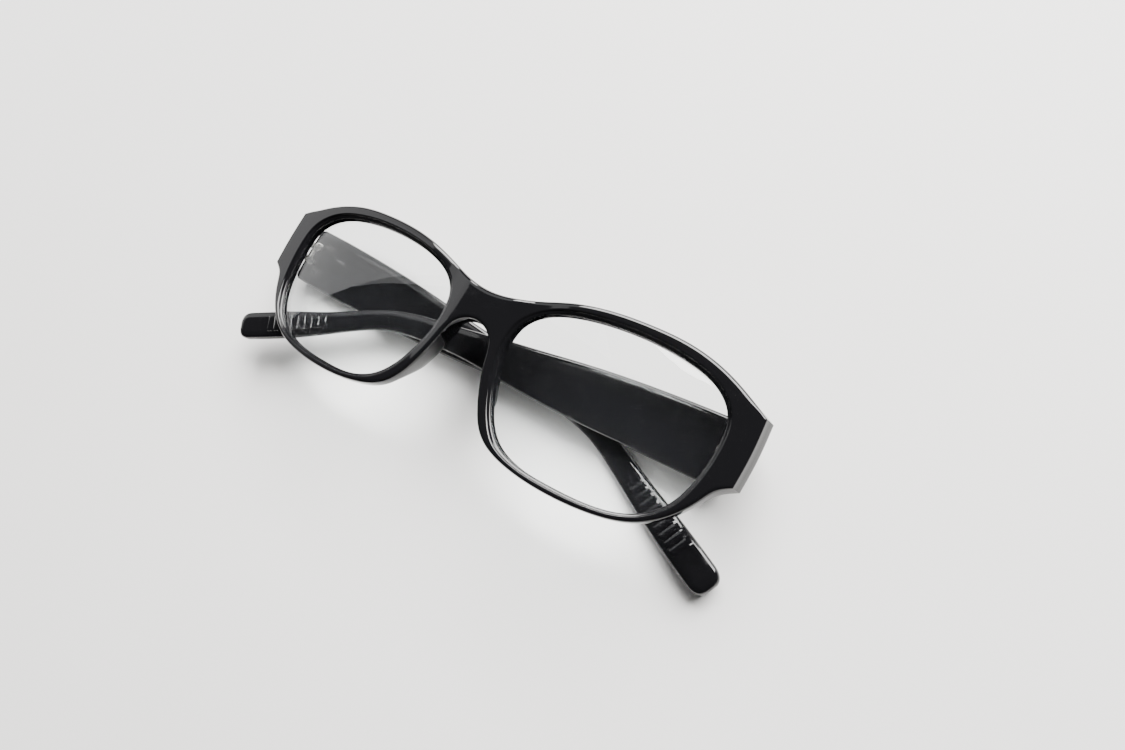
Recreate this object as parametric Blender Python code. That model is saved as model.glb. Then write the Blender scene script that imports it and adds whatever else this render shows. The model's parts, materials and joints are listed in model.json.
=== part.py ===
"""Plastic eyeglasses frame, folded, lying front face up on its temples.

Metres, +Z up, +X along the width of the front. Every part hangs from one empty
that carries the lean of the folded frame as it rests. Inside that empty X runs
along the front, Y is up when worn, and Z points out of the front of the lenses.
"""

import math

import bmesh
import bpy
import numpy as np
from mathutils import Vector
from mathutils.geometry import tessellate_polygon

MM = 0.001

# Front, in mm. Half outlines run from the middle of the nose to the endpiece.
WRAP = 0.00233  # curvature of the front about a vertical axis, per mm
DEPTH = 4.0
TOP_EDGE = [
    (0, 11.6), (7.6, 12.7), (17, 15.9), (27, 18.3), (38, 19.2), (48, 18.8), (57.5, 16.3), (67.2, 11.4),
]
SIDE_EDGE = [(67.2, 11.4), (67.5, 3.7), (67.2, -3.9)]
LOW_EDGE = [
    (67.2, -3.9), (64.6, -5.8), (62.7, -8.9), (58.6, -14.7), (52.8, -19.1), (44, -21.7), (33, -22.5),
    (22.5, -21.5), (14.6, -18.2), (9.7, -11), (7, -3.4), (5, 1.7), (2.6, 3.5), (0, 4.0),
]
OPENING = [
    (9.7, 3.2), (10.5, 7.2), (13.5, 10.9), (20, 13.9), (29, 15.6), (38.5, 16.1), (48, 15.3), (55.7, 12.8),
    (59.7, 8.9), (60.8, 3.0), (60.1, -4.6), (57.4, -12.2), (51.8, -17.5), (43.5, -20.0), (33, -20.6),
    (24.5, -20.0), (18.2, -17.3), (14.0, -12.3), (11.2, -6.0), (9.8, -1.2),
]
TOP_COUNT, SIDE_COUNT, LOW_COUNT, OPENING_COUNT = 30, 5, 54, 48
ROUND_OFF = 0.9  # rounding of the outer front edge
FLARE = 1.1  # how far the back of an endpiece stands outside its front edge
GROOVE = 0.6
LENS_IN_GROOVE = 0.35
LENS_FRONT, LENS_BACK = -1.85, -3.05
LENS_BULGE_FRONT, LENS_BULGE_BACK = 1.5, 1.0

# Hinges, in mm. The joint axis runs along Y.
AXIS_X, AXIS_Y, AXIS_Z = 62.15, 2.9, -12.4
BARREL_R = 1.15
BORE_R, SCREW_R = 0.70, 0.62
MIDDLE_HALF = 0.9
OUTER_LOW, OUTER_HIGH = 1.05, 2.6
INNER_FACE = -1.35  # inner face of a temple at its hinge, from the axis
LEAF = 0.7
GAP = 0.15  # clearance between a leaf and its pocket
OVERCUT = 1.2  # how far a cutter runs out past the surface that it opens
LEAF_INNER_X, LEAF_OUTER_X, LEAF_HALF = 62.0, 66.0, 5.0  # leaf on the front
LEAF_EMBED = 0.45  # how deep a knuckle on the front runs into its leaf
TONGUE_TOP = INNER_FACE - 1.3  # the leaf in a temple lies this deep
TONGUE_START, TONGUE_END, TONGUE_HALF = 1.2, 11.0, 2.4
KNUCKLE_END = 2.9  # how far a temple's knuckle runs along its tongue
MOUTH_START, MOUTH_END = -0.6, 3.4
MOUTH_HALF = 1.2  # half width of the mouth in the inner face that its knuckle comes out of
SCREW_LOW, SCREW_SHOULDER, SCREW_TOP = -2.9, 2.7, 3.4
SCREW_HEAD_R, SCREW_CROWN_R, SCREW_RIM = 1.1, 0.85, 3.2
SLOT_HALF, SLOT_LOW = 0.16, 3.12
RIVET_X, RIVET_Y, RIVET_R, RIVET_HOLE_R, RIVET_LENGTH = 64.4, 3.4, 0.55, 0.65, 2.4

# Temples, in mm: distance from the hinge axis, height of the middle, width, thickness.
TEMPLE = [
    (-3.3, 2.9, 15.2, 4.0), (12, 2.25, 14.8, 4.0), (22, 1.8, 14.2, 3.8), (35, 1.05, 13.1, 3.5),
    (47, 0.35, 11.4, 3.3), (58, -0.1, 9.4, 3.1), (70, -0.7, 7.3, 2.9), (80, -1.6, 6.2, 2.7),
    (88, -2.8, 5.7, 2.5), (94, -4.6, 5.4, 2.4), (100, -7.4, 5.4, 2.4), (106, -10.6, 5.8, 2.5),
    (114, -14.7, 6.7, 2.8), (122, -18.6, 7.3, 3.1), (129.5, -22.2, 7.3, 3.1),
]
TEMPLE_COUNT = 34
TIP_ROUND = 3.4
TIP_END = (2.2, 0.8)  # width and thickness of the last section
TIP_CROWN = 0.35  # how far the rounded end sinks below the inner face
OUTER_FACE = INNER_FACE - 4.0  # outer face, flat from the butt to the ear, from the axis
BUTT_SLANT = 0.25  # the butt leans so that it closes on the endpiece when open
EAR_CURVE, EAR_FROM = 1.5, 70  # how far the tip curves in towards the head, and from what distance
RIB_START, RIB_END, RIB_COUNT, RIB_HEIGHT = 108.0, 124.0, 9, 0.22
RIGHT_FOLD_DEG = 2.2  # the right temple leans in towards the lenses
LEFT_FOLD_DEG = 1.6  # the left temple lies over it

# The folded frame lies on the outer face of its left temple.
LEAN = math.radians(LEFT_FOLD_DEG)
FRONT_HEIGHT = AXIS_X * math.sin(LEAN) - AXIS_Z * math.cos(LEAN) - OUTER_FACE
FRONT_MIDDLE = (-0.33, 3.34)  # middle of the front, from the middle of the whole folded frame


def clear_scene():
    for obj in list(bpy.data.objects):
        bpy.data.objects.remove(obj, do_unlink=True)


def material(name, colour, roughness, metallic=0.0, transmission=0.0):
    made = bpy.data.materials.new(name)
    made.use_nodes = True
    shader = made.node_tree.nodes["Principled BSDF"]
    shader.inputs["Base Color"].default_value = (*colour, 1.0)
    shader.inputs["Roughness"].default_value = roughness
    shader.inputs["Metallic"].default_value = metallic
    shader.inputs["Transmission Weight"].default_value = transmission
    return made


def spline(points, count, closed=False):
    """Points of the smooth cubic through the given ones, evenly spaced along it."""
    p = np.array(points, float)
    if closed:
        p = np.vstack([p, p[:1]])
    h = np.linalg.norm(np.diff(p, axis=0), axis=1)
    t = np.concatenate([[0.0], np.cumsum(h)])
    n = len(p)
    matrix, right = np.zeros((n, n)), np.zeros((n, p.shape[1]))
    for i in range(1, n - 1):
        matrix[i, i - 1 : i + 2] = h[i - 1], 2 * (h[i - 1] + h[i]), h[i]
        right[i] = 6 * ((p[i + 1] - p[i]) / h[i] - (p[i] - p[i - 1]) / h[i - 1])
    if closed:
        matrix[0, 0], matrix[0, -1] = 1, -1
        matrix[-1, 0], matrix[-1, 1] = 2 * h[0], h[0]
        matrix[-1, -2], matrix[-1, -1] = h[-1], 2 * h[-1]
        right[-1] = 6 * ((p[1] - p[0]) / h[0] - (p[-1] - p[-2]) / h[-1])
    else:
        matrix[0, 0] = matrix[-1, -1] = 1
    bend = np.linalg.solve(matrix, right)
    at = np.linspace(0, t[-1], count + 1 if closed else count)
    at = at[:-1] if closed else at
    i = np.clip(np.searchsorted(t, at, side="right") - 1, 0, n - 2)
    a, b, w = (t[i + 1] - at)[:, None], (at - t[i])[:, None], h[i][:, None]
    curve = (bend[i] * a**3 + bend[i + 1] * b**3) / (6 * w)
    return curve + (p[i] / w - bend[i] * w / 6) * a + (p[i + 1] / w - bend[i + 1] * w / 6) * b


def mirrored(half):
    """A half outline and its mirror image, from one end to the other through x = 0."""
    return [(-x, y) for x, y in reversed(half) if x > 0] + list(half)


def smoothstep(low, high, value):
    u = np.clip((value - low) / (high - low), 0.0, 1.0)
    return u * u * (3 - 2 * u)


def inward(loop):
    """Unit normals of a closed 2-D loop, to the left of its direction."""
    along = np.roll(loop, -1, axis=0) - np.roll(loop, 1, axis=0)
    along /= np.linalg.norm(along, axis=1)[:, None]
    return np.stack([-along[:, 1], along[:, 0]], axis=1)


def add_object(name, points, faces, looks, parent, smooth=True, location=(0, 0, 0), turn_y=0.0):
    """One named object. Points and location are in mm in the parent's frame."""
    mesh = bpy.data.meshes.new(name)
    mesh.from_pydata([tuple(float(c) * MM for c in p) for p in points], [], [tuple(f) for f in faces])
    work = bmesh.new()
    work.from_mesh(mesh)
    bmesh.ops.recalc_face_normals(work, faces=work.faces)
    work.to_mesh(mesh)
    work.free()
    mesh.materials.append(looks)
    if smooth:
        mesh.polygons.foreach_set("use_smooth", [True] * len(mesh.polygons))
    obj = bpy.data.objects.new(name, mesh)
    bpy.context.scene.collection.objects.link(obj)
    obj.parent = parent
    obj.location = [c * MM for c in location]
    obj.rotation_euler = (0, turn_y, 0)
    return obj


def loft(rings, cap_start=True, cap_end=True):
    """Vertices and faces of closed rings joined one to the next."""
    count = len(rings[0])
    points = [p for ring in rings for p in ring]
    faces = []
    for r in range(len(rings) - 1):
        for i in range(count):
            j = (i + 1) % count
            faces.append((r * count + i, r * count + j, (r + 1) * count + j, (r + 1) * count + i))
    if cap_start:
        faces.append(tuple(reversed(range(count))))
    if cap_end:
        faces.append(tuple(range((len(rings) - 1) * count, len(rings) * count)))
    return points, faces


def prism(outline, low, high):
    """A solid with the given (x, z) outline, from y = low to y = high."""
    return loft([[(x, low, z) for x, z in outline], [(x, high, z) for x, z in outline]])


def circle(radius, count, centre=(0.0, 0.0)):
    return [
        (centre[0] + radius * math.cos(a), centre[1] + radius * math.sin(a))
        for a in (2 * math.pi * i / count for i in range(count))
    ]


def box(low_x, high_x, low_z, high_z):
    return [(low_x, low_z), (high_x, low_z), (high_x, high_z), (low_x, high_z)]


def hull(points):
    """Convex outline of 2-D points, anticlockwise."""
    points = sorted(set(points))

    def chain(some):
        kept = []
        for p in some:
            while len(kept) > 1:
                (ax, ay), (bx, by) = kept[-2], kept[-1]
                if (bx - ax) * (p[1] - ay) - (by - ay) * (p[0] - ax) > 0:
                    break
                kept.pop()
            kept.append(p)
        return kept[:-1]

    return chain(points) + chain(reversed(points))


def cutter(name, points, faces, parent, location=(0, 0, 0), turn_y=0.0):
    obj = add_object(name, points, faces, PLASTIC, parent, False, location, turn_y)
    obj.hide_render = True
    obj.display_type = "WIRE"
    return obj


def combine(target, other, operation):
    modifier = target.modifiers.new(f"{operation.lower()} {other.name}", "BOOLEAN")
    modifier.operation = operation
    modifier.object = other
    modifier.solver = "EXACT"


def front_outline():
    """The outside of the front as one anticlockwise loop."""
    top = spline(mirrored(TOP_EDGE), TOP_COUNT * 2)
    low = spline(mirrored(LOW_EDGE[::-1]), LOW_COUNT * 2)
    side = spline(SIDE_EDGE, SIDE_COUNT)
    right_side = side[::-1][1:-1]
    left_side = np.array([(-x, y) for x, y in side[1:-1]])
    return np.vstack([low, right_side, top[::-1], left_side])


def opening_loop(side):
    loop = spline(OPENING, OPENING_COUNT, closed=True)
    return loop if side > 0 else loop[::-1] * np.array([-1, 1])


def nearest(points, others):
    return np.linalg.norm(points[:, None] - others[None], axis=2).min(axis=1)


def wrapped(x):
    return -WRAP * x * x / 2


def front_rings(outline, width):
    """Rings of the outside of the front, from its front face round to its back face."""
    x, y = outline[:, 0], outline[:, 1]
    into = inward(outline)
    edge = np.minimum(ROUND_OFF, 0.42 * width)
    room = np.minimum(1.0, width / 2.0)
    pad = smoothstep(-17.0, -10.5, y) * smoothstep(3.4, -0.5, y) * (np.abs(x) < 16)
    flare = FLARE * smoothstep(61.0, 66.5, np.abs(x)) * np.sign(x)
    plain = [
        (edge, 0.0), (0.36 * edge, -0.16 * ROUND_OFF), (0 * edge, -0.75 * ROUND_OFF),
        (0 * edge, -3.1), (0.1 * room, -3.6), (0.32 * room, -3.9), (0.5 * room, -DEPTH),
        (0.65 * room, -DEPTH), (0.8 * room, -DEPTH),
    ]
    padded = [
        None, None, None, (0.4, -3.6), (0.9, -7.0), (1.3, -7.8), (1.9, -7.7), (2.3, -6.6), (2.5, -DEPTH),
    ]
    rings = []
    for (offset, z), full in zip(plain, padded):
        z = np.full(len(x), float(z))
        if full:
            offset = offset * (1 - pad) + full[0] * pad
            z = z * (1 - pad) + full[1] * pad
        ring = outline + into * offset[:, None]
        back = np.clip((-z - 0.5) / 3.0, 0.0, 1.0)
        ring_x = ring[:, 0] + flare * back
        rings.append(np.stack([ring_x, ring[:, 1], z + wrapped(ring_x)], axis=1))
    return rings


def opening_rings(loop, width):
    """Rings of a lens opening, from the front face, past the groove, to the back face."""
    out = inward(loop)
    bevel = np.minimum(1.0, 0.42 * width)
    rings = []
    for offset, z in (
        (bevel, 0.0), (0.35 * bevel, -0.55), (0 * bevel, -1.1), (0 * bevel, -1.55),
        (0 * bevel + GROOVE, -1.6), (0 * bevel + GROOVE, -3.3), (0 * bevel, -3.35),
        (0 * bevel, -3.75), (0.3 * bevel, -DEPTH),
    ):
        ring = loop + out * offset[:, None]
        rings.append(np.stack([ring[:, 0], ring[:, 1], z + wrapped(ring[:, 0])], axis=1))
    return rings


def build_front(parent):
    outline = front_outline()
    openings = [opening_loop(1), opening_loop(-1)]
    width = nearest(outline, np.vstack(openings))
    walls = [front_rings(outline, width)]
    walls += [opening_rings(loop, nearest(loop, outline)) for loop in openings]
    points, faces, front_loops, back_loops = [], [], [], []
    for rings in walls:
        start = len(points)
        ring_points, ring_faces = loft(rings, cap_start=False, cap_end=False)
        points += ring_points
        faces += [tuple(start + i for i in face) for face in ring_faces]
        count = len(rings[0])
        front_loops.append(list(range(start, start + count)))
        back_loops.append(list(range(len(points) - count, len(points))))
    for loops in (front_loops, back_loops):
        flat = [i for loop in loops for i in loop]
        outlines = [[Vector((points[i][0], points[i][1], 0)) for i in loop] for loop in loops]
        faces += [tuple(flat[i] for i in triangle) for triangle in tessellate_polygon(outlines)]
    return add_object("frame_front", points, faces, PLASTIC, parent)


def build_lens(name, side, parent):
    """A lens, as wide as the groove allows, thicker in the middle than at its edge."""
    loop = opening_loop(side)
    loop = loop + inward(loop) * LENS_IN_GROOVE
    middle = loop.mean(axis=0)
    shares = (1.0, 0.8, 0.5)
    count = len(loop)

    def surface(level, bulge, share):
        ring = middle + (loop - middle) * share
        z = level + bulge * (1 - share**2)
        sag = wrapped(loop[:, 0]) * share**2 + wrapped(middle[0]) * (1 - share**2)
        return np.stack([ring[:, 0], ring[:, 1], z + sag], axis=1)

    rings = [surface(LENS_FRONT, LENS_BULGE_FRONT, s) for s in reversed(shares)]
    rings += [surface(LENS_BACK, LENS_BULGE_BACK, s) for s in shares]
    points, faces = loft(rings, cap_start=False, cap_end=False)
    poles = ((0, LENS_FRONT, LENS_BULGE_FRONT), (len(rings) - 1, LENS_BACK, LENS_BULGE_BACK))
    for ring, level, bulge in poles:
        points.append((middle[0], middle[1], level + bulge + wrapped(middle[0])))
        last = len(points) - 1
        faces += [(last, ring * count + i, ring * count + (i + 1) % count) for i in range(count)]
    return add_object(name, points, faces, GLASS, parent)


def temple_section(width, thick, rib):
    """Section of a temple as (across, height over its inner face)."""
    half = width / 2
    bevel = min(1.5, 0.28 * width)
    side = 0.5 * thick
    return [
        (-half + bevel, rib), (half - bevel, rib), (half - 0.3, -0.55), (half, -side + 0.2),
        (half, -side - 0.2), (half - 0.35, -thick + 0.35), (half - 1.1, -thick), (-half + 1.1, -thick),
        (-half + 0.35, -thick + 0.35), (-half, -side - 0.2), (-half, -side + 0.2), (-half + 0.3, -0.55),
    ]


def temple_stations():
    """Places along a temple as rows of distance, height, width and thickness, and a rib height for each."""
    path = spline(TEMPLE, 400)
    grip = np.linspace(RIB_START, RIB_END, 2 * RIB_COUNT + 1)
    plain = np.linspace(TEMPLE[0][0], TEMPLE[-1][0], TEMPLE_COUNT)
    plain = plain[(plain < RIB_START - 1.5) | (plain > RIB_END + 1.5)]
    marks = np.concatenate([plain[plain < RIB_START], [RIB_START - 0.8], grip, plain[plain > RIB_END]])
    rows = np.stack([np.interp(marks, path[:, 0], path[:, c]) for c in range(4)], axis=1)
    first = int(np.argmax(marks == RIB_START))
    ribs = np.zeros(len(marks))
    ribs[first + 1 : first + len(grip) : 2] = RIB_HEIGHT
    return rows, ribs


def build_temple(name, side, fold_deg, parent):
    """A temple in its hinge frame: origin on the axis, inner face up, tip away from the hinge."""
    rows, ribs = temple_stations()
    way = -side
    along = np.gradient(rows[:, :2], axis=0)
    along /= np.linalg.norm(along, axis=1)[:, None]
    ear_length = rows[-1, 0] - rows[0, 0] - 73
    rings = []

    def ring(centre, direction, width, thick, rib, slant=0.0):
        distance, height = centre
        curve = EAR_CURVE * max(0.0, (distance - EAR_FROM) / ear_length) ** 2
        across = (-direction[1], direction[0])
        made = []
        for u, v in temple_section(width, thick, rib):
            d = distance + u * across[0] - slant * v
            made.append((way * d, height + u * across[1] - AXIS_Y, OUTER_FACE + thick + v + curve))
        return made

    for i, (distance, height, width, thick) in enumerate(rows):
        slant = BUTT_SLANT if i == 0 else 0.0
        rings.append(ring((distance, height), along[i] if i else (1.0, 0.0), width, thick, ribs[i], slant))
    distance, height, width, thick = rows[-1]
    for step in (0.45, 0.75, 0.93, 1.0):
        shrink = math.sqrt(1 - (0.97 * step) ** 2)
        centre = (distance + along[-1][0] * TIP_ROUND * step, height + along[-1][1] * TIP_ROUND * step)
        end_width = TIP_END[0] + (width - TIP_END[0]) * shrink
        end_thick = TIP_END[1] + (thick - TIP_END[1]) * shrink
        rings.append(ring(centre, along[-1], end_width, end_thick, -TIP_CROWN * step))
    points, faces = loft(rings)
    return add_object(
        name, points, faces, PLASTIC, parent, True,
        (side * AXIS_X, AXIS_Y, AXIS_Z), math.radians(fold_deg),
    )


def endpiece_back(x):
    return -DEPTH + wrapped(x)


def build_hinge(word, side, fold_deg, front, temple, parent):
    """Both leaves, the screw and the rivets of one hinge, with their pockets and holes."""
    here = (side * AXIS_X, AXIS_Y, AXIS_Z)
    turn = math.radians(fold_deg)

    def at_front(outline):
        """An (x, z) outline given for the right side, measured from the axis."""
        return [(side * x, z) for x, z in outline]

    def at_temple(outline):
        """An outline given as (distance along the temple, height)."""
        return [(-side * d, z) for d, z in outline]

    def slab(low_x, high_x, deep):
        """Outline of a plate let into the back of the endpiece."""
        a, b = low_x - AXIS_X, high_x - AXIS_X
        za, zb = endpiece_back(low_x) - AXIS_Z, endpiece_back(high_x) - AXIS_Z
        return [(a, za), (b, zb), (b, zb + deep), (a, za + deep)]

    # Leaf on the front: a plate let into the endpiece and two knuckles.
    plate = prism(at_front(slab(LEAF_INNER_X, LEAF_OUTER_X, LEAF)), -LEAF_HALF, LEAF_HALF)
    leaf = add_object(f"hinge_leaf_front_{word}", *plate, STEEL, parent, False, here)
    reach = endpiece_back(LEAF_INNER_X) - AXIS_Z + LEAF_EMBED
    knuckle = at_front(hull(circle(BARREL_R, 28) + [(-0.1, reach), (0.8, reach)]))
    for end, (low, high) in (("top", (OUTER_LOW, OUTER_HIGH)), ("bottom", (-OUTER_HIGH, -OUTER_LOW))):
        arm = cutter(f"front_knuckle_{end}_{word}", *prism(knuckle, low, high), parent, here)
        combine(leaf, arm, "UNION")
    bore = prism(circle(BORE_R, 24), -OUTER_HIGH - OVERCUT, OUTER_HIGH + OVERCUT)
    bore = cutter(f"hinge_bore_{word}", *bore, parent, here)
    combine(leaf, bore, "DIFFERENCE")
    back_edge, deep_edge = np.split(np.array(slab(LEAF_INNER_X - GAP, LEAF_OUTER_X + GAP, LEAF + GAP)), 2)
    pocket = prism(at_front([*(back_edge - (0, OVERCUT)), *deep_edge]), -LEAF_HALF - GAP, LEAF_HALF + GAP)
    combine(front, cutter(f"front_pocket_{word}", *pocket, parent, here), "DIFFERENCE")

    # Leaf on the temple: a tongue moulded into the plastic and one knuckle that rises from it.
    low, high = TONGUE_TOP - LEAF, TONGUE_TOP
    tongue = prism(at_temple(box(TONGUE_START, TONGUE_END, low, high)), -TONGUE_HALF, TONGUE_HALF)
    other = add_object(f"hinge_leaf_temple_{word}", *tongue, STEEL, parent, False, here, turn)
    root = [(TONGUE_START, low), (KNUCKLE_END, low), (KNUCKLE_END, INNER_FACE - 0.4)]
    knuckle = at_temple(hull(circle(BARREL_R, 28) + root))
    arm = cutter(f"temple_knuckle_{word}", *prism(knuckle, -MIDDLE_HALF, MIDDLE_HALF), parent, here, turn)
    combine(other, arm, "UNION")
    combine(other, bore, "DIFFERENCE")
    low, high = low - GAP, high + GAP
    slot = box(TONGUE_START - GAP, TONGUE_END + GAP, low, high)
    slot = prism(at_temple(slot), -TONGUE_HALF - GAP, TONGUE_HALF + GAP)
    combine(temple, cutter(f"tongue_slot_{word}", *slot, parent, here, turn), "DIFFERENCE")
    mouth = prism(at_temple(box(MOUTH_START, MOUTH_END, low, OVERCUT)), -MOUTH_HALF, MOUTH_HALF)
    combine(temple, cutter(f"knuckle_mouth_{word}", *mouth, parent, here, turn), "DIFFERENCE")

    # Screw down the axis, with a slotted head.
    rings = []
    for radius, y in (
        (SCREW_R, SCREW_LOW), (SCREW_R, SCREW_SHOULDER), (SCREW_HEAD_R, SCREW_SHOULDER),
        (SCREW_HEAD_R, SCREW_RIM), (SCREW_CROWN_R, SCREW_TOP),
    ):
        rings.append([(x, y, z) for x, z in circle(radius, 24)])
    screw = add_object(f"hinge_screw_{word}", *loft(rings), STEEL, parent, False, here)
    slot = prism(box(-OVERCUT, OVERCUT, -SLOT_HALF, SLOT_HALF), SLOT_LOW, SCREW_TOP + OVERCUT)
    combine(screw, cutter(f"screw_slot_{word}", *slot, parent, here), "DIFFERENCE")

    # Two rivets hold the leaf on the front.
    back = endpiece_back(RIVET_X) - AXIS_Z
    for number, y in ((1, -RIVET_Y), (2, RIVET_Y)):
        spot = (side * RIVET_X, AXIS_Y + y, AXIS_Z + back)
        add_rivet(f"hinge_rivet_{word}_{number}", spot, front, leaf, parent)


def add_rivet(name, spot, body, leaf, parent):
    """A rivet flush with the face of its leaf, with its shank in the plastic in front of it."""
    def stack(radius, low, high):
        return loft([[(x, y, z) for x, y in circle(radius, 20)] for z in (high, low)])

    add_object(name, *stack(RIVET_R, 0.02, RIVET_LENGTH), STEEL, parent, False, spot)
    hole = cutter(f"{name}_hole", *stack(RIVET_HOLE_R, -OVERCUT, RIVET_LENGTH + GAP), parent, spot)
    combine(leaf, hole, "DIFFERENCE")
    combine(body, hole, "DIFFERENCE")


clear_scene()
PLASTIC = material("glossy black plastic", (0.006, 0.006, 0.007), 0.12)
GLASS = material("clear lens", (0.95, 0.97, 0.97), 0.0, 0.0, 1.0)
STEEL = material("nickel plated hinge", (0.62, 0.61, 0.58), 0.28, 1.0)

lean = bpy.data.objects.new("folded_lean", None)
bpy.context.scene.collection.objects.link(lean)
lean.rotation_euler = (0, -LEAN, 0)
lean.location = (FRONT_MIDDLE[0] * MM, FRONT_MIDDLE[1] * MM, FRONT_HEIGHT * MM)

frame_front = build_front(lean)
build_lens("lens_right", 1, lean)
build_lens("lens_left", -1, lean)
for hinge_word, hinge_side, fold in (("right", 1, RIGHT_FOLD_DEG), ("left", -1, LEFT_FOLD_DEG)):
    blade = build_temple(f"temple_{hinge_word}", hinge_side, fold, lean)
    build_hinge(hinge_word, hinge_side, fold, frame_front, blade, lean)
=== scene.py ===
"""Looks of the folded plastic eyeglasses: polished black plastic, clear lenses and nickel hinges.

Shapes are laid out in the front's own frame, in mm: X runs along the front, Y is up when worn and
Z points out of the lenses. That frame stands on the CAD hinges, so each piece lands where its CAD
node is.
"""

import json
import math

import bmesh
import bpy
import numpy as np
from mathutils import Matrix, Vector
from mathutils.geometry import delaunay_2d_cdt


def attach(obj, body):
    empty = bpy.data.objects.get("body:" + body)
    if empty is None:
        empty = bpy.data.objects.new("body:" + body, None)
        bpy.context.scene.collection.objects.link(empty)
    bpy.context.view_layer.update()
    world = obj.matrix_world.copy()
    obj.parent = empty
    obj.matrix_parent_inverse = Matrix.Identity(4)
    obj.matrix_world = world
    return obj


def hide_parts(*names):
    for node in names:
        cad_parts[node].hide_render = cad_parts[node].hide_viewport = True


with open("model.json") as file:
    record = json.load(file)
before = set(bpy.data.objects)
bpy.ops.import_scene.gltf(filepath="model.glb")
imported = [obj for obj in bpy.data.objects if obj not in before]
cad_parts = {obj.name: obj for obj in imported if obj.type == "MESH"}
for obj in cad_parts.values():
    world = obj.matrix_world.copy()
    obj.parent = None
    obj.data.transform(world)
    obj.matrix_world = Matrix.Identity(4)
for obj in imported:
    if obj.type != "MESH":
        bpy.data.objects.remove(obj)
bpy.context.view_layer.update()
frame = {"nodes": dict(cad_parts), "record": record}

MM = 0.001

# The front, as in the CAD. Half outlines run from the middle of the nose to the endpiece.
WRAP = 0.00233  # curvature of the front about a vertical axis, per mm
DEPTH = 4.0
TOP_EDGE = [
    (0, 11.6), (7.6, 12.7), (17, 15.9), (27, 18.3), (38, 19.2), (48, 18.8), (57.5, 16.3), (67.2, 11.4),
]
SIDE_EDGE = [(67.2, 11.4), (67.5, 3.7), (67.2, -3.9)]
LOW_EDGE = [
    (67.2, -3.9), (64.6, -5.8), (62.7, -8.9), (58.6, -14.7), (52.8, -19.1), (44, -21.7), (33, -22.5),
    (22.5, -21.5), (14.6, -18.2), (9.7, -11), (7, -3.4), (5, 1.7), (2.6, 3.5), (0, 4.0),
]
OPENING = [
    (9.7, 3.2), (10.5, 7.2), (13.5, 10.9), (20, 13.9), (29, 15.6), (38.5, 16.1), (48, 15.3), (55.7, 12.8),
    (59.7, 8.9), (60.8, 3.0), (60.1, -4.6), (57.4, -12.2), (51.8, -17.5), (43.5, -20.0), (33, -20.6),
    (24.5, -20.0), (18.2, -17.3), (14.0, -12.3), (11.2, -6.0), (9.8, -1.2),
]
STEP = 0.55  # spacing of points along the edges of the front
ROUND_OFF = 0.95  # rounding of the outer front edge
BEAD_TURNS = 7  # rings over that rounding
GUARD = 0.03  # share of a rim's width kept flat beside each bead
FLARE = 1.1  # how far the back of an endpiece stands outside its front edge
GROOVE = 0.6
CAP_SPACING, CAP_CLEAR = 1.1, 0.3  # grid of points within a flat face, and their room from its rim
LENS_IN_GROOVE = 0.35
LENS_FRONT, LENS_BACK = -1.85, -3.05
LENS_BULGE_FRONT, LENS_BULGE_BACK = 1.5, 1.0
BRIDGE_HALF = 6.6  # half width of the flat panel across the bridge
BRIDGE_DROP = 0.75  # how far the flanks beside that panel fall away
BRIDGE_REACH = 4.5  # how wide each flank is
FLANK_END, FLANK_START = 22.0, 13.0  # the flanks' fall fades between these, from the middle

# Hinges and temples, from the hinge axis.
AXIS_X, AXIS_Y, AXIS_Z = 62.15, 2.9, -12.4
INNER_FACE = -1.35
OUTER_FACE = INNER_FACE - 4.0
SLOT_LOW, SLOT_HIGH = INNER_FACE - 2.15, INNER_FACE - 1.15
SLOT_START, SLOT_END, SLOT_HALF = 0.9, 11.2, 2.55  # slot for the leaf inside a temple
CUT_TOP = 1.0  # top of the shapes that are cut out of a temple's inner face
MOUTH_START, MOUTH_END, MOUTH_HALF = -0.6, 3.4, 1.2
MARK_AT, MARK_UP, MARK_R, MARK_DEPTH = 6.2, 0.6, 1.3, 0.09  # round mould mark in the inner face
PLATE_X, PLATE_HALF, PLATE_DEEP = (61.8, 66.2), 5.2, 0.85  # recess for the leaf on the front
TEMPLE = [
    (-3.3, 2.9, 15.2, 4.0), (12, 2.25, 14.8, 4.0), (22, 1.8, 14.2, 3.8), (35, 1.05, 13.1, 3.5),
    (47, 0.35, 11.4, 3.3), (58, -0.1, 9.4, 3.1), (70, -0.7, 7.3, 2.9), (80, -1.6, 6.2, 2.7),
    (88, -2.8, 5.7, 2.5), (94, -4.6, 5.4, 2.4), (100, -7.4, 5.4, 2.4), (106, -10.6, 5.8, 2.5),
    (114, -14.7, 6.7, 2.8), (122, -18.6, 7.3, 3.1), (129.5, -22.2, 7.3, 3.1),
]
PATH_COUNT = 800  # steps along a temple's profile
TIP_ROUND = 3.4
TIP_WIDTH, TIP_THICK = 1.6, 0.8  # of the last section
BUTT_SLANT, BUTT_REACH = 0.25, 6.0  # the butt leans so that it closes on the endpiece when open
EAR_CURVE = 1.5  # how far the tip curves in towards the head
EAR_FROM, EAR_SPAN = 70.0, 59.8  # where that curve starts, and how long it is
RIB_START, RIB_END, RIB_COUNT, RIB_HEIGHT = 108.0, 124.0, 9, 0.3
RIGHT_FOLD_DEG = 2.2
LEFT_FOLD_DEG = 1.6

# Camera, in the front's frame: a 24 mm lens looking down across the right-hand lens.
CAMERA_AT = (92.0, -15.3, 143.6)
CAMERA_RIGHT = (0.8207, 0.471, -0.3236)
CAMERA_DOWN = (0.392, -0.876, -0.281)
CAMERA_LENS = 24.0
CAMERA_SENSOR = 36.0


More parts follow.
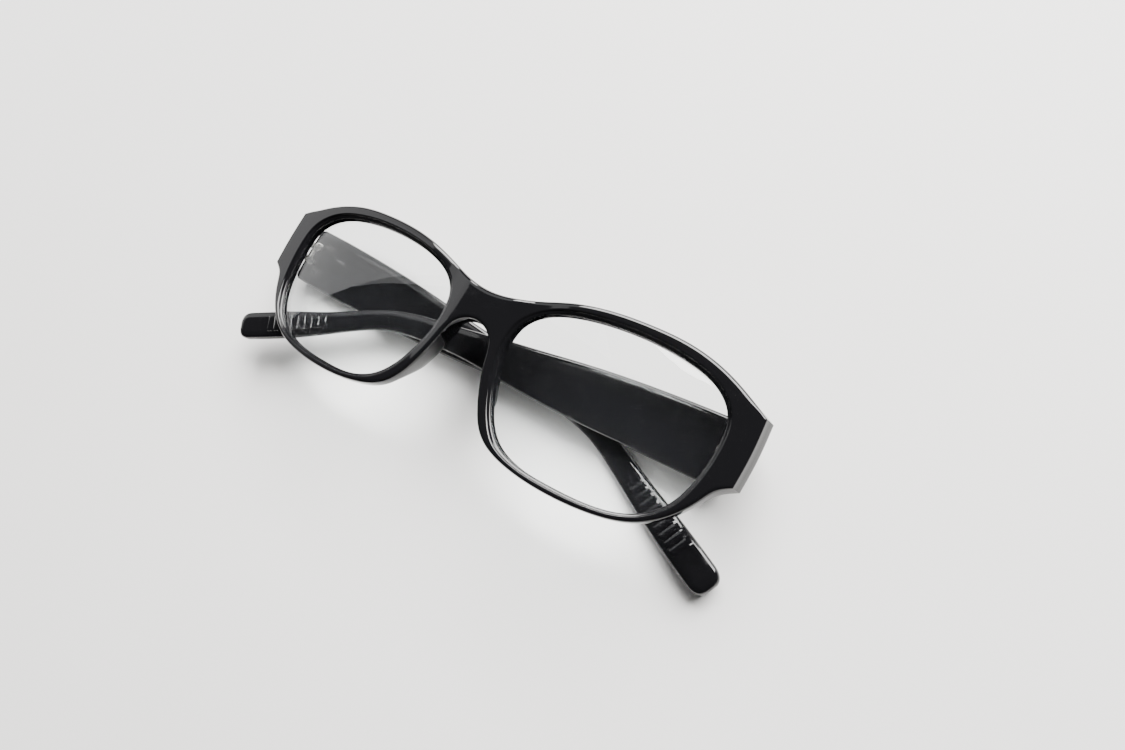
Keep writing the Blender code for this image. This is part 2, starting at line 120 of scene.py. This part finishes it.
def front_frame():
    """Matrix from the front's frame, in metres, to the world, read off the two hinge axes."""
    joints = {joint["name"]: Vector(joint["pos_m"]) for joint in frame["record"]["behaviour"]["joints"]}
    right, left = joints["right_hinge"], joints["left_hinge"]
    x = (right - left).normalized()
    y = Vector((0, 1, 0))
    z = x.cross(y).normalized()
    middle = (right + left) / 2 - y * AXIS_Y * MM - z * AXIS_Z * MM
    matrix = Matrix((x, y, z)).transposed().to_4x4()
    matrix.translation = middle
    return matrix


FRONT = front_frame()


# ---------------------------------------------------------------- curves and meshes


def spline_at(points, count=None, step=None, closed=False):
    """The smooth cubic through the given points, at evenly spaced places along it."""
    p = np.array(points, float)
    if closed:
        p = np.vstack([p, p[:1]])
    h = np.linalg.norm(np.diff(p, axis=0), axis=1)
    t = np.concatenate([[0.0], np.cumsum(h)])
    n = len(p)
    matrix, right = np.zeros((n, n)), np.zeros((n, p.shape[1]))
    for i in range(1, n - 1):
        matrix[i, i - 1 : i + 2] = h[i - 1], 2 * (h[i - 1] + h[i]), h[i]
        right[i] = 6 * ((p[i + 1] - p[i]) / h[i] - (p[i] - p[i - 1]) / h[i - 1])
    if closed:
        matrix[0, 0], matrix[0, -1] = 1, -1
        matrix[-1, 0], matrix[-1, 1] = 2 * h[0], h[0]
        matrix[-1, -2], matrix[-1, -1] = h[-1], 2 * h[-1]
        right[-1] = 6 * ((p[1] - p[0]) / h[0] - (p[-1] - p[-2]) / h[-1])
    else:
        matrix[0, 0] = matrix[-1, -1] = 1
    bend = np.linalg.solve(matrix, right)
    if step:
        count = int(math.ceil(t[-1] / step))
    at = np.linspace(0, t[-1], count + 1)
    at = at[:-1] if closed else at
    i = np.clip(np.searchsorted(t, at, side="right") - 1, 0, n - 2)
    a, b, w = (t[i + 1] - at)[:, None], (at - t[i])[:, None], h[i][:, None]
    curve = (bend[i] * a**3 + bend[i + 1] * b**3) / (6 * w)
    return curve + (p[i] / w - bend[i] * w / 6) * a + (p[i + 1] / w - bend[i + 1] * w / 6) * b


def mirrored(half):
    return [(-x, y) for x, y in reversed(half) if x > 0] + list(half)


def smoothstep(low, high, value):
    u = np.clip((value - low) / (high - low), 0.0, 1.0)
    return u * u * (3 - 2 * u)


def inward(loop):
    """Unit normals of a closed 2-D loop, to the left of its direction."""
    along = np.roll(loop, -1, axis=0) - np.roll(loop, 1, axis=0)
    along /= np.linalg.norm(along, axis=1)[:, None]
    return np.stack([-along[:, 1], along[:, 0]], axis=1)


def nearest(points, others):
    """Distance from each point to the nearest of the others."""
    return np.linalg.norm(points[:, None] - others[None], axis=2).min(axis=1)


def strip_faces(rings, count, start=0):
    faces = []
    for r in range(rings - 1):
        low, high = start + r * count, start + (r + 1) * count
        faces += [(low + i, low + (i + 1) % count, high + (i + 1) % count, high + i) for i in range(count)]
    return faces


def make_piece(name, points, faces, looks, body, nodes, sharp=38.0, to_world=FRONT):
    """A smooth-shaded piece from points in mm, riding on a body in place of CAD nodes."""
    mesh = bpy.data.meshes.new(name)
    places = [to_world @ (Vector(tuple(map(float, p))) * MM) for p in points]
    mesh.from_pydata(places, [], [tuple(f) for f in faces])
    work = bmesh.new()
    work.from_mesh(mesh)
    bmesh.ops.recalc_face_normals(work, faces=work.faces)
    work.to_mesh(mesh)
    work.free()
    mesh.materials.append(looks)
    mesh.shade_smooth()
    if sharp:
        mesh.set_sharp_from_angle(angle=math.radians(sharp))
    obj = bpy.data.objects.new(name, mesh)
    bpy.context.scene.collection.objects.link(obj)
    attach(obj, body)
    if nodes:
        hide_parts(*nodes)
    return obj


# ---------------------------------------------------------------- materials


def node_material(name):
    made = bpy.data.materials.new(name)
    made.use_nodes = True
    tree = made.node_tree
    return made, tree, tree.nodes["Principled BSDF"]


def add_noise(tree, coords, scale, detail=3.0, rough=0.5, stretch=None):
    """Noise in object space, its scale in features per metre."""
    if stretch:
        mapping = tree.nodes.new("ShaderNodeMapping")
        mapping.inputs["Scale"].default_value = stretch
        tree.links.new(coords, mapping.inputs["Vector"])
        coords = mapping.outputs["Vector"]
    noise = tree.nodes.new("ShaderNodeTexNoise")
    noise.inputs["Scale"].default_value = scale
    noise.inputs["Detail"].default_value = detail
    noise.inputs["Roughness"].default_value = rough
    tree.links.new(coords, noise.inputs["Vector"])
    return noise.outputs["Fac"]


def add_ramp(tree, value, low, high, start, end):
    """Maps a value between low and high onto start to end."""
    ranged = tree.nodes.new("ShaderNodeMapRange")
    for key, number in (("From Min", low), ("From Max", high), ("To Min", start), ("To Max", end)):
        ranged.inputs[key].default_value = number
    tree.links.new(value, ranged.inputs["Value"])
    return ranged.outputs["Result"]


def add_math(tree, operation, first, second):
    node = tree.nodes.new("ShaderNodeMath")
    node.operation = operation
    for socket, value in zip(node.inputs, (first, second)):
        if isinstance(value, float):
            socket.default_value = value
        else:
            tree.links.new(value, socket)
    return node.outputs[0]


def add_colours(tree, value, stops):
    ramp = tree.nodes.new("ShaderNodeValToRGB")
    ramp.color_ramp.elements[0].position, ramp.color_ramp.elements[0].color = stops[0]
    ramp.color_ramp.elements[1].position, ramp.color_ramp.elements[1].color = stops[1]
    tree.links.new(value, ramp.inputs["Fac"])
    return ramp.outputs["Color"]


def black_plastic(name, base_rough, smudge):
    """Polished black plastic: slow waviness, hairline scratches, dust and finger marks."""
    made, tree, shader = node_material(name)
    coords = tree.nodes.new("ShaderNodeTexCoord").outputs["Object"]
    cloud = add_noise(tree, coords, 60.0, 4.0)
    smear = add_noise(tree, coords, 260.0, 5.0, 0.62)
    hairlines = add_noise(tree, coords, 900.0, 2.0, 0.5, (1.0, 9.0, 1.0))
    dust = add_noise(tree, coords, 2600.0, 2.0, 0.7)
    marks = add_ramp(tree, smear, 0.5, 0.72, 0.0, smudge)
    scratches = add_ramp(tree, hairlines, 0.62, 0.8, 0.0, 0.10)
    rough = add_math(tree, "ADD", marks, scratches)
    slow = add_ramp(tree, cloud, 0.3, 0.7, base_rough * 0.75, base_rough * 1.3)
    tree.links.new(add_math(tree, "ADD", rough, slow), shader.inputs["Roughness"])
    specks = add_ramp(tree, dust, 0.70, 0.78, 0.0, 1.0)
    worn = add_math(tree, "MULTIPLY", specks, add_ramp(tree, cloud, 0.45, 0.65, 0.0, 0.6))
    colour = add_colours(tree, worn, [(0.0, (0.0045, 0.0045, 0.0052, 1)), (1.0, (0.055, 0.053, 0.05, 1))])
    tree.links.new(colour, shader.inputs["Base Color"])
    shader.inputs["IOR"].default_value = 1.50
    bump = tree.nodes.new("ShaderNodeBump")
    bump.inputs["Strength"].default_value = 0.12
    bump.inputs["Distance"].default_value = 0.00012
    tree.links.new(add_noise(tree, coords, 190.0, 2.0), bump.inputs["Height"])
    tree.links.new(bump.outputs["Normal"], shader.inputs["Normal"])
    return made


def hinge_metal(name, colour, base_rough, brush):
    """Nickel plating with fine tooling lines and dull spots."""
    made, tree, shader = node_material(name)
    coords = tree.nodes.new("ShaderNodeTexCoord").outputs["Object"]
    lines = add_noise(tree, coords, 4200.0, 2.0, 0.5, brush)
    spots = add_noise(tree, coords, 900.0, 4.0, 0.6)
    fine = add_ramp(tree, lines, 0.3, 0.7, base_rough * 0.7, base_rough * 1.4)
    dull = add_ramp(tree, spots, 0.52, 0.7, 0.0, 0.18)
    tree.links.new(add_math(tree, "ADD", fine, dull), shader.inputs["Roughness"])
    dark = tuple(channel * 0.72 for channel in colour)
    tint = add_colours(tree, spots, [(0.35, (*colour, 1)), (0.75, (*dark, 1))])
    tree.links.new(tint, shader.inputs["Base Color"])
    shader.inputs["Metallic"].default_value = 1.0
    bump = tree.nodes.new("ShaderNodeBump")
    bump.inputs["Strength"].default_value = 0.2
    bump.inputs["Distance"].default_value = 0.00003
    tree.links.new(lines, bump.inputs["Height"])
    tree.links.new(bump.outputs["Normal"], shader.inputs["Normal"])
    return made


def lens_glass(name):
    """Clear lens that mirrors the room a little, with faint smears, and lets lamps through."""
    made, tree, shader = node_material(name)
    coords = tree.nodes.new("ShaderNodeTexCoord").outputs["Object"]
    smear = add_noise(tree, coords, 150.0, 5.0, 0.6)
    tree.links.new(add_ramp(tree, smear, 0.5, 0.75, 0.0, 0.035), shader.inputs["Roughness"])
    shader.inputs["Base Color"].default_value = (0.97, 0.985, 0.985, 1)
    shader.inputs["Transmission Weight"].default_value = 1.0
    shader.inputs["IOR"].default_value = 1.5
    path = tree.nodes.new("ShaderNodeLightPath")
    clear = tree.nodes.new("ShaderNodeBsdfTransparent")
    clear.inputs["Color"].default_value = (0.93, 0.94, 0.94, 1)
    mix = tree.nodes.new("ShaderNodeMixShader")
    tree.links.new(path.outputs["Is Shadow Ray"], mix.inputs[0])
    tree.links.new(shader.outputs["BSDF"], mix.inputs[1])
    tree.links.new(clear.outputs["BSDF"], mix.inputs[2])
    tree.links.new(mix.outputs[0], tree.nodes["Material Output"].inputs["Surface"])
    return made


def painted_floor(name):
    made, tree, shader = node_material(name)
    coords = tree.nodes.new("ShaderNodeTexCoord").outputs["Object"]
    cloud = add_noise(tree, coords, 9.0, 3.0)
    colour = add_colours(tree, cloud, [(0.3, (0.86, 0.85, 0.835, 1)), (0.7, (0.88, 0.873, 0.862, 1))])
    tree.links.new(colour, shader.inputs["Base Color"])
    shader.inputs["Roughness"].default_value = 0.55
    return made


# ---------------------------------------------------------------- the front


def front_outline():
    top = spline_at(mirrored(TOP_EDGE), step=STEP)
    low = spline_at(mirrored(LOW_EDGE[::-1]), step=STEP)
    side = spline_at(SIDE_EDGE, step=STEP)
    for edge in (top, low):
        for x in (-BRIDGE_HALF, BRIDGE_HALF):
            edge[np.argmin(np.abs(edge[:, 0] - x)), 0] = x
    left_side = side[1:-1] * np.array([-1, 1])
    return np.vstack([low, side[::-1][1:-1], top[::-1], left_side])


def opening_loop(side):
    loop = spline_at(OPENING, step=STEP, closed=True)
    return loop if side > 0 else loop[::-1] * np.array([-1, 1])


def face_height(x):
    """Height of the front face: wrapped round the face, with flanks beside the bridge panel."""
    away = smoothstep(FLANK_END, FLANK_START, np.abs(x))
    share = np.minimum((np.abs(x) - BRIDGE_HALF).clip(0) / BRIDGE_REACH, 1)
    return -WRAP * x * x / 2 - BRIDGE_DROP * share * away


def wrapped(x):
    return -WRAP * x * x / 2


def outer_rings(outline, width):
    """Rings from the front face, over the outer bead, down the wall and round to the back face."""
    x, y = outline[:, 0], outline[:, 1]
    into = inward(outline)
    crisp = smoothstep(62.5, 66.0, np.abs(x)) * smoothstep(-7.0, -3.0, y)
    edge = np.minimum(ROUND_OFF, 0.40 * width) * (1 - 0.45 * crisp)
    room = np.minimum(1.0, width / 2.0)
    pad = smoothstep(-17.0, -10.5, y) * smoothstep(3.4, -0.5, y) * (np.abs(x) < 16)
    flare = FLARE * smoothstep(61.0, 66.5, np.abs(x)) * np.sign(x)
    bead = [(edge + GUARD * width, 0.0)]
    for k in range(BEAD_TURNS):
        angle = math.pi / 2 * k / (BEAD_TURNS - 1)
        drop = -ROUND_OFF * 0.9 * (1 - math.cos(angle)) * (1 - 0.45 * crisp)
        bead.append((edge * (1 - math.sin(angle)), drop))
    plain = bead + [
        (0 * edge, -1.9), (0 * edge, -3.0), (0.04 * room, -3.35), (0.13 * room, -3.66),
        (0.28 * room, -3.88), (0.48 * room, -DEPTH), (0.7 * room, -DEPTH),
    ]
    padded = [None] * len(bead) + [
        (0.15, -2.2), (0.45, -4.2), (0.8, -6.0), (1.05, -7.2), (1.45, -7.95), (2.0, -7.6), (2.45, -5.2),
    ]
    rings = []
    for (offset, z), full in zip(plain, padded):
        z = np.zeros(len(x)) + z
        if full:
            offset = offset * (1 - pad) + full[0] * pad
            z = z * (1 - pad) + full[1] * pad
        ring = outline + into * offset[:, None]
        back = np.clip((-z - 0.5) / 3.0, 0.0, 1.0)
        ring_x = ring[:, 0] + flare * back
        share = np.clip(1 + z / 2.0, 0, 1)
        base = wrapped(ring_x) * (1 - share) + face_height(ring_x) * share
        rings.append(np.stack([ring_x, ring[:, 1], z + base], axis=1))
    return rings


def opening_rings(loop, width):
    """Rings of a lens opening: a rounded bead, a small step, the groove and the back edge."""
    out = inward(loop)
    bevel = np.minimum(1.15, 0.46 * width)
    rings = []
    for offset, z in (
        (bevel + GUARD * width, 0.0), (bevel, 0.0), (0.93 * bevel, -0.03), (0.80 * bevel, -0.14),
        (0.70 * bevel, -0.30), (0.64 * bevel, -0.46), (0.52 * bevel, -0.52),
        (0.34 * bevel, -0.58), (0.16 * bevel, -0.74), (0.05 * bevel, -0.98),
        (0 * bevel, -1.25), (0 * bevel, -1.55), (0 * bevel + GROOVE, -1.6), (0 * bevel + GROOVE, -3.3),
        (0 * bevel, -3.35), (0 * bevel, -3.65), (0.1 * bevel, -3.86), (0.3 * bevel, -DEPTH),
    ):
        ring = loop + out * offset[:, None]
        share = np.clip(1 + z / 2.0, 0, 1)
        base = wrapped(ring[:, 0]) * (1 - share) + face_height(ring[:, 0]) * share
        rings.append(np.stack([ring[:, 0], ring[:, 1], z + base], axis=1))
    return rings


def cap(points, loops, height):
    """Fills the face between the loops, with points of its own where there is room."""
    flat = [i for loop in loops for i in loop]
    rim = np.array([points[i][:2] for i in flat])
    lines = [(x, y) for x in (-BRIDGE_HALF, BRIDGE_HALF) for y in np.arange(-2, 14, 0.3)]
    grid = [(x, y) for x in np.arange(-67, 67.1, CAP_SPACING) for y in np.arange(-23, 20, CAP_SPACING)]
    grid = [(x, y) for x, y in grid if abs(abs(x) - BRIDGE_HALF) > 0.4]
    candidates = np.array(lines + grid)
    ends = np.cumsum([len(loop) for loop in loops])
    polygon = np.split(rim, ends[:-1])
    inside = inside_of(candidates, polygon[0])
    for hole in polygon[1:]:
        inside &= ~inside_of(candidates, hole)
    chosen = candidates[inside]
    inner = [tuple(p) for p in chosen[nearest(chosen, rim) > CAP_CLEAR]]
    vertices = [Vector(map(float, p)) for p in rim] + [Vector(map(float, p)) for p in inner]
    edges, at = [], 0
    for loop in loops:
        edges += [(at + i, at + (i + 1) % len(loop)) for i in range(len(loop))]
        at += len(loop)
    result = delaunay_2d_cdt(vertices, edges, [], 0, 1e-7)
    new_points, triangles, origin = result[0], result[2], result[3]
    index = {}
    for i, source in enumerate(origin):
        first = source[0] if source else -1
        if 0 <= first < len(flat):
            index[i] = flat[first]
        else:
            index[i] = len(points)
            x, y = new_points[i]
            points.append((x, y, float(height(np.array([x]))[0])))
    kept = []
    middles = np.array([np.mean([new_points[i] for i in t], axis=0) for t in triangles])
    good = inside_of(middles, polygon[0])
    for hole in polygon[1:]:
        good &= ~inside_of(middles, hole)
    for triangle, fine in zip(triangles, good):
        if fine:
            kept.append(tuple(index[i] for i in triangle))
    return kept


def inside_of(points, polygon):
    """Whether each point lies inside a closed polygon."""
    x, y = points[:, 0][:, None], points[:, 1][:, None]
    a, b = polygon, np.roll(polygon, -1, axis=0)
    crosses = (a[:, 1] > y) != (b[:, 1] > y)
    with np.errstate(divide="ignore", invalid="ignore"):
        meet = (b[:, 0] - a[:, 0]) * (y - a[:, 1]) / (b[:, 1] - a[:, 1]) + a[:, 0]
    return (np.where(crosses, x < meet, False).sum(axis=1) % 2) == 1


def build_front(looks):
    outline = front_outline()
    openings = [opening_loop(1), opening_loop(-1)]
    width = nearest(outline, np.vstack(openings))
    walls = [outer_rings(outline, width)]
    walls += [opening_rings(loop, nearest(loop, outline)) for loop in openings]
    points, faces, front_loops, back_loops = [], [], [], []
    for rings in walls:
        start, count = len(points), len(rings[0])
        points += [tuple(p) for ring in rings for p in ring]
        faces += strip_faces(len(rings), count, start)
        front_loops.append(list(range(start, start + count)))
        back_loops.append(list(range(len(points) - count, len(points))))
    faces += cap(points, front_loops, face_height)
    faces += cap(points, back_loops, lambda x: wrapped(x) - DEPTH)
    return make_piece("front_moulding", points, faces, looks, "front", ["frame_front"], sharp=32.0)


# ---------------------------------------------------------------- lenses


def build_lens(word, side, looks):
    loop = opening_loop(side)
    loop = loop + inward(loop) * LENS_IN_GROOVE
    middle = loop.mean(axis=0)
    shares = (1.0, 0.985, 0.95, 0.88, 0.76, 0.6, 0.42, 0.22)

    def surface(level, bulge, share):
        ring = middle + (loop - middle) * share
        sag = wrapped(loop[:, 0]) * share**2 + wrapped(middle[0]) * (1 - share**2)
        return np.stack([ring[:, 0], ring[:, 1], level + bulge * (1 - share**2) + sag], axis=1)

    rings = [surface(LENS_FRONT, LENS_BULGE_FRONT, s) for s in reversed(shares)]
    rings += [surface(LENS_BACK, LENS_BULGE_BACK, s) for s in shares]
    points = [tuple(p) for ring in rings for p in ring]
    count = len(loop)
    faces = strip_faces(len(rings), count)
    poles = ((0, LENS_FRONT, LENS_BULGE_FRONT), (len(rings) - 1, LENS_BACK, LENS_BULGE_BACK))
    for ring, level, bulge in poles:
        points.append((middle[0], middle[1], level + bulge + wrapped(middle[0])))
        last = len(points) - 1
        faces += [(last, ring * count + i, ring * count + (i + 1) % count) for i in range(count)]
    piece = make_piece(f"lens_shell_{word}", points, faces, looks, "front", [f"lens_{word}"], sharp=50.0)
    return piece


# ---------------------------------------------------------------- temples


def temple_frame(side, fold_deg):
    """Matrix of a temple's hinge frame in the world."""
    place = Matrix.Translation(Vector((side * AXIS_X, AXIS_Y, AXIS_Z)) * MM)
    return FRONT @ place @ Matrix.Rotation(math.radians(fold_deg), 4, "Y")


def temple_section(width, thick, rib):
    """Section as (across, height over the inner face): a bordered inner face and rounded outer edges."""
    half = width / 2
    border = min(1.5, 0.24 * width)
    side = 0.5 * thick
    right_half = [
        (0.0, rib), (half - border - 0.5, rib), (half - border - 0.12, rib * 0.9 - 0.01),
        (half - border, -0.03), (half - 0.75, -0.16), (half - 0.42, -0.3),
        (half - 0.17, -0.55), (half - 0.03, -0.9), (half, -side),
        (half - 0.04, -thick + 0.95), (half - 0.16, -thick + 0.6), (half - 0.38, -thick + 0.3),
        (half - 0.75, -thick + 0.08), (half - 1.2, -thick), (0.0, -thick),
    ]
    left_half = [(-u, v) for u, v in right_half[-2:0:-1]]
    return right_half + left_half


def temple_rows():
    """Places along a temple: distance, height, width and thickness, and the rib height at each."""
    path = spline_at(TEMPLE, count=PATH_COUNT)
    marks = np.concatenate([
        np.linspace(TEMPLE[0][0], TEMPLE[0][0] + 0.6, 3), np.linspace(-2.2, RIB_START - 0.4, 130),
        np.linspace(RIB_START, RIB_END, RIB_COUNT * 10 + 1), np.linspace(RIB_END + 0.4, TEMPLE[-1][0], 10),
    ])
    rows = np.stack([np.interp(marks, path[:, 0], path[:, c]) for c in range(4)], axis=1)
    phase = (marks - RIB_START) / (RIB_END - RIB_START) * RIB_COUNT
    inside = (marks >= RIB_START) & (marks <= RIB_END)
    ribs = np.where(inside, RIB_HEIGHT * np.abs(np.sin(np.pi * phase)) ** 0.6, 0.0)
    return rows, ribs


def build_temple(word, side, fold_deg, looks):
    rows, ribs = temple_rows()
    way = -side
    along = np.gradient(rows[:, :2], axis=0)
    along /= np.linalg.norm(along, axis=1)[:, None]
    along[0] = (1.0, 0.0)
    rings = []

    def ring(distance, height, direction, width, thick, rib, slant):
        curve = EAR_CURVE * max(0.0, (distance - EAR_FROM) / EAR_SPAN) ** 2
        made = []
        for u, v in temple_section(width, thick, rib):
            d = distance - u * direction[1] - slant * v
            made.append((way * d, height + u * direction[0] - AXIS_Y, OUTER_FACE + thick + v + curve))
        return made

    for i, (distance, height, width, thick) in enumerate(rows):
        near = max(0.0, 1 - (distance - TEMPLE[0][0]))
        shrink = 0.5 * (1 - math.sqrt(max(0.0, 1 - near**2))) if near else 0.0
        slant = BUTT_SLANT * max(0.0, 1 - (distance - TEMPLE[0][0]) / BUTT_REACH)
        direction = along[i] if distance > 4 else (1.0, 0.0)
        rings.append(ring(distance, height, direction, width - shrink, thick, ribs[i], slant))
    distance, height, width, thick = rows[-1]
    for step in np.linspace(0.1, 1.0, 14):
        shrink = math.sqrt(1 - (0.985 * step) ** 2)
        reach = TIP_ROUND * step
        rings.append(ring(
            distance + along[-1][0] * reach, height + along[-1][1] * reach, along[-1],
            TIP_WIDTH + (width - TIP_WIDTH) * shrink ** 0.8,
            TIP_THICK + (thick - TIP_THICK) * shrink ** 0.6, 0.0, 0.0,
        ))
    count = len(rings[0])
    points = [p for r in rings for p in r]
    faces = strip_faces(len(rings), count)
    faces.append(tuple(reversed(range(count))))
    faces.append(tuple(range((len(rings) - 1) * count, len(rings) * count)))
    return make_piece(
        f"temple_moulding_{word}", points, faces, looks, f"{word}_temple", [f"temple_{word}"],
        sharp=34.0, to_world=temple_frame(side, fold_deg),
    )


def cut(target, name, points, faces, to_world):
    """Cuts a closed shape, given in mm, out of a piece, and leaves no helper behind."""
    mesh = bpy.data.meshes.new(name)
    mesh.from_pydata([to_world @ (Vector(p) * MM) for p in points], [], faces)
    work = bmesh.new()
    work.from_mesh(mesh)
    bmesh.ops.recalc_face_normals(work, faces=work.faces)
    work.to_mesh(mesh)
    work.free()
    helper = bpy.data.objects.new(name, mesh)
    bpy.context.scene.collection.objects.link(helper)
    modifier = target.modifiers.new(name, "BOOLEAN")
    modifier.operation = "DIFFERENCE"
    modifier.solver = "EXACT"
    modifier.object = helper
    graph = bpy.context.evaluated_depsgraph_get()
    result = bpy.data.meshes.new_from_object(target.evaluated_get(graph))
    target.modifiers.remove(modifier)
    old = target.data
    target.data = result
    bpy.data.meshes.remove(old)
    bpy.data.objects.remove(helper)
    target.data.shade_smooth()
    target.data.set_sharp_from_angle(angle=math.radians(34))


def box_shape(low, high):
    points = [(x, y, z) for x in (low[0], high[0]) for y in (low[1], high[1]) for z in (low[2], high[2])]
    faces = [(0, 1, 3, 2), (4, 6, 7, 5), (0, 4, 5, 1), (2, 3, 7, 6), (0, 2, 6, 4), (1, 5, 7, 3)]
    return points, faces


def drum_shape(centre, radius, low, high, count=48):
    ring = [(math.cos(a), math.sin(a)) for a in (2 * math.pi * i / count for i in range(count))]
    points = [(centre[0] + radius * x, centre[1] + radius * y, z) for z in (low, high) for x, y in ring]
    faces = strip_faces(2, count) + [tuple(range(count)), tuple(range(count, 2 * count))]
    return points, faces


def seat_leaf(piece, side, fold_deg):
    """The mould mark, and the mouth and slot of the hinge leaf, in a temple's inner face."""
    hinge = temple_frame(side, fold_deg)
    for name, start, end, half, low, high in (
        ("mouth", MOUTH_START, MOUTH_END, MOUTH_HALF, SLOT_LOW, CUT_TOP),
        ("slot", SLOT_START, SLOT_END, SLOT_HALF, SLOT_LOW, SLOT_HIGH),
    ):
        ends = sorted((-side * start, -side * end))
        cut(piece, name, *box_shape((ends[0], -half, low), (ends[1], half, high)), hinge)
    mark = drum_shape((-side * MARK_AT, MARK_UP), MARK_R, INNER_FACE - MARK_DEPTH, CUT_TOP)
    cut(piece, "mark", *mark, hinge)


def seat_plate(piece, side):
    """The recess in the back of an endpiece for its hinge leaf."""
    low = [(side * x, wrapped(x) - DEPTH) for x in PLATE_X]
    corners = [(x, z - 0.6) for x, z in low] + [(x, z + PLATE_DEEP) for x, z in reversed(low)]
    points = [(x, AXIS_Y + y, z) for y in (-PLATE_HALF, PLATE_HALF) for x, z in corners]
    faces = strip_faces(2, 4) + [(0, 1, 2, 3), (4, 5, 6, 7)]
    cut(piece, "plate_recess", points, faces, FRONT)


# ---------------------------------------------------------------- scene


def build_floor(looks):
    mesh = bpy.data.meshes.new("floor")
    half = 3.0
    corners = [(-half, -half, 0), (half, -half, 0), (half, half, 0), (-half, half, 0)]
    mesh.from_pydata(corners, [], [(0, 1, 2, 3)])
    mesh.materials.append(looks)
    floor = bpy.data.objects.new("floor", mesh)
    bpy.context.scene.collection.objects.link(floor)


def build_camera():
    right, down = Vector(CAMERA_RIGHT).normalized(), Vector(CAMERA_DOWN).normalized()
    ahead = right.cross(down).normalized()
    up = ahead.cross(right).normalized() * -1
    data = bpy.data.cameras.new("camera")
    data.lens = CAMERA_LENS
    data.sensor_width = CAMERA_SENSOR
    data.clip_start = 0.01
    camera = bpy.data.objects.new("camera", data)
    bpy.context.scene.collection.objects.link(camera)
    turn = Matrix((right, -down, -ahead)).transposed().to_4x4()
    camera.matrix_world = FRONT @ Matrix.Translation(Vector(CAMERA_AT) * MM) @ turn
    bpy.context.scene.camera = camera


def add_panel(name, middle, size, radiance, colour=(1, 1, 1), across=None):
    """A soft panel light that faces the object, placed in metres in the front's frame."""
    data = bpy.data.lights.new(name, "AREA")
    data.shape = "RECTANGLE"
    data.size, data.size_y = size
    data.energy = radiance * math.pi * size[0] * size[1]
    data.color = colour
    lamp = bpy.data.objects.new(name, data)
    bpy.context.scene.collection.objects.link(lamp)
    away = FRONT.to_3x3() @ Vector(middle)
    lamp.location = away
    turn = away.to_track_quat("Z", "Y")
    if across:
        beside = (FRONT.to_3x3() @ Vector(across)).normalized()
        upward = away.normalized().cross(beside).normalized()
        axes = Matrix((upward.cross(away).normalized(), upward, away.normalized()))
        turn = axes.transposed().to_quaternion()
    lamp.rotation_euler = turn.to_euler()


def build_light():
    """A big window behind the brow and a wall that the left lens mirrors."""
    world = bpy.data.worlds.new("studio")
    world.use_nodes = True
    background = world.node_tree.nodes["Background"]
    background.inputs["Color"].default_value = (0.97, 0.98, 1.0, 1)
    background.inputs["Strength"].default_value = 0.05
    bpy.context.scene.world = world
    add_panel("window", (0.08, 1.08, 0.89), (1.7, 1.0), 23.5, (1.0, 0.99, 0.98))
    add_panel("wall", (-0.973, 0.325, 0.691), (1.7, 0.6), 1.5, across=(-0.613, -0.476, -0.630))


gloss_front = black_plastic("polished_black_front", 0.05, 0.10)
gloss_temple = black_plastic("polished_black_temple", 0.07, 0.16)
glass = lens_glass("clear_lens")
nickel = hinge_metal("nickel_leaf", (0.66, 0.65, 0.62), 0.22, (1.0, 10.0, 1.0))
bright = hinge_metal("bright_screw", (0.80, 0.79, 0.77), 0.12, (1.0, 1.0, 1.0))

front = build_front(gloss_front)
for word, side, fold in (("right", 1, RIGHT_FOLD_DEG), ("left", -1, LEFT_FOLD_DEG)):
    seat_plate(front, side)
    build_lens(word, side, glass)
    temple = build_temple(word, side, fold, gloss_temple)
    seat_leaf(temple, side, fold)

for name, node in frame["nodes"].items():
    if name.startswith("hinge_"):
        looks = nickel if name.startswith("hinge_leaf") else bright
        node.data.materials.clear()
        node.data.materials.append(looks)

build_floor(painted_floor("pale_floor"))
build_camera()
build_light()
